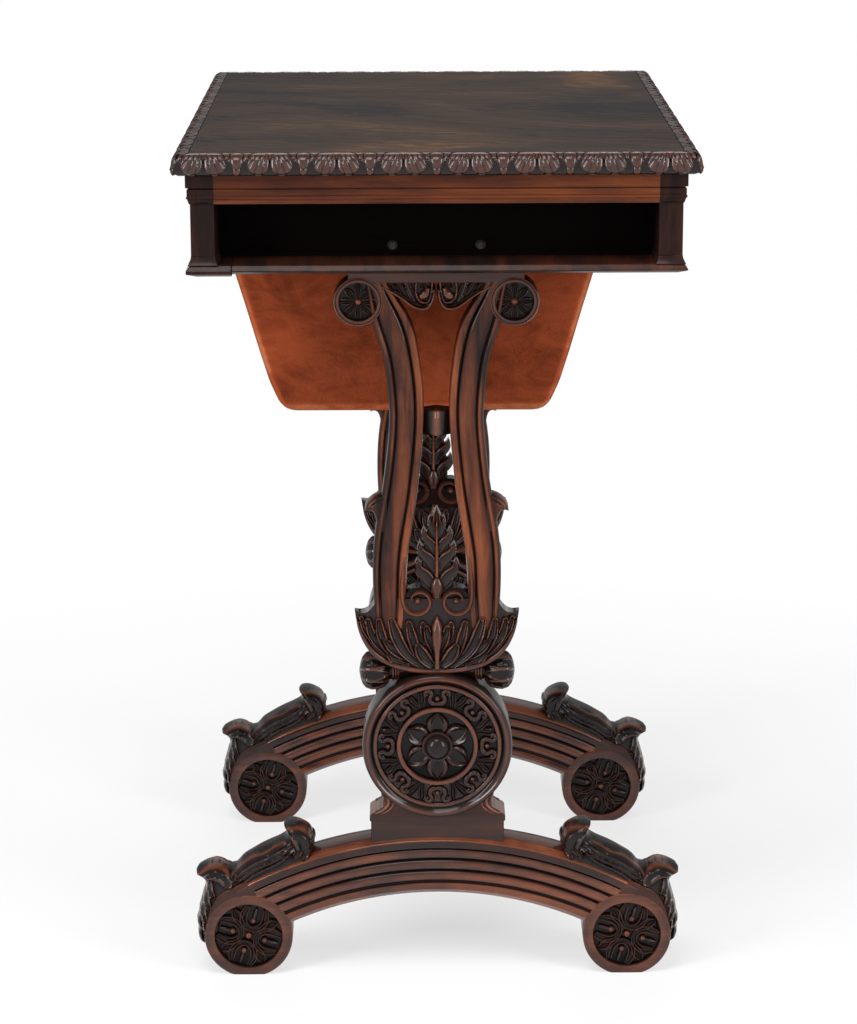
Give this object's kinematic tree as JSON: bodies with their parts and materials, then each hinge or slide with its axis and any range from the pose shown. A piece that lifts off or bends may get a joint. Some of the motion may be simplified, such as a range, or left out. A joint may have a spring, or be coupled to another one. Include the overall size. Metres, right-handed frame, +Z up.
{
  "type": "work table",
  "caption": "Carved rosewood sewing table: hinged lid over a fitted tray, velvet-covered box that pulls out to the front, lyre standards on arched feet with scrolled ends.",
  "frame": {"origin": "on the floor, under the middle of the table top", "axes": "+Z up; the front, where the work box pulls out and the lid lifts, faces -X; the table's long side and the line through the two standards run along Y"},
  "size_m": [0.44, 0.6, 0.76],
  "materials": {
    "top_veneer": "figured rosewood, waxed and polished",
    "rosewood": "dark polished rosewood, worn redder on the edges",
    "inner_wood": "plain oiled wood",
    "velvet": "short-pile velvet, rubbed paler on the edges",
    "silk": "plain silk lining",
    "cushion": "velvet pad",
    "brass": "aged brass",
    "steel": "dulled steel"
  },
  "bodies": {
    "stand": {"cornice_front": "rosewood", "cornice_back": "rosewood", "cornice_left": "rosewood", "cornice_right": "rosewood", "front_right_post": "rosewood", "front_left_post": "rosewood", "back_right_post": "rosewood", "back_left_post": "rosewood", "front_panel": "rosewood", "back_panel": "rosewood", "right_panel": "rosewood", "left_panel": "rosewood", "base_board": "rosewood", "right_capital": "rosewood", "left_capital": "rosewood", "right_arms": "rosewood", "left_arms": "rosewood", "right_palmette": "rosewood", "left_palmette": "rosewood", "right_calyx": "rosewood", "left_calyx": "rosewood", "right_bud_spindle": "rosewood", "left_bud_spindle": "rosewood", "right_roundel": "rosewood", "left_roundel": "rosewood", "right_pedestal": "rosewood", "left_pedestal": "rosewood", "right_foot": "rosewood", "left_foot": "rosewood", "foot_leaves": "rosewood", "foot_rosettes": "rosewood", "capital_rosettes": "rosewood", "roundel_flowers": "rosewood", "tie_blocks": "rosewood", "stretcher": "rosewood", "tray_knobs": "rosewood", "tray_box": "inner_wood", "tray_dividers": "inner_wood", "tray_lids": "inner_wood", "runners": "inner_wood", "pincushion": "cushion", "hinge_case_leaves": "brass", "lock_case": "brass", "escutcheon": "brass", "hinge_pins": "steel", "case_bolts": "steel"},
    "lid": {"lid_panel": "top_veneer", "lid_edge_front": "rosewood", "lid_edge_back": "rosewood", "lid_edge_left": "rosewood", "lid_edge_right": "rosewood", "hinge_lid_leaves": "brass", "lock_strike": "brass"},
    "work_box": {"work_box_front_rail": "rosewood", "work_box_frame": "inner_wood", "work_box_shell": "inner_wood", "velvet_cover": "velvet", "box_lining": "silk"},
    "lock_bolt": {"lock_bolt": "steel"}
  },
  "joints": [
    {"name": "lid_hinge", "type": "hinge", "parent": "stand", "child": "lid", "pos_m": [0.212, 0, 0.7418], "axis": [0, 1, 0], "range_deg": [0, 95]},
    {"name": "work_box_slide", "type": "slide", "parent": "stand", "child": "work_box", "axis": [-1, 0, 0], "range_m": [0, 0.26]},
    {"name": "lock_bolt_slide", "type": "slide", "parent": "stand", "child": "lock_bolt", "axis": [0, 1, 0], "range_m": [0, 0.006]}
  ]
}
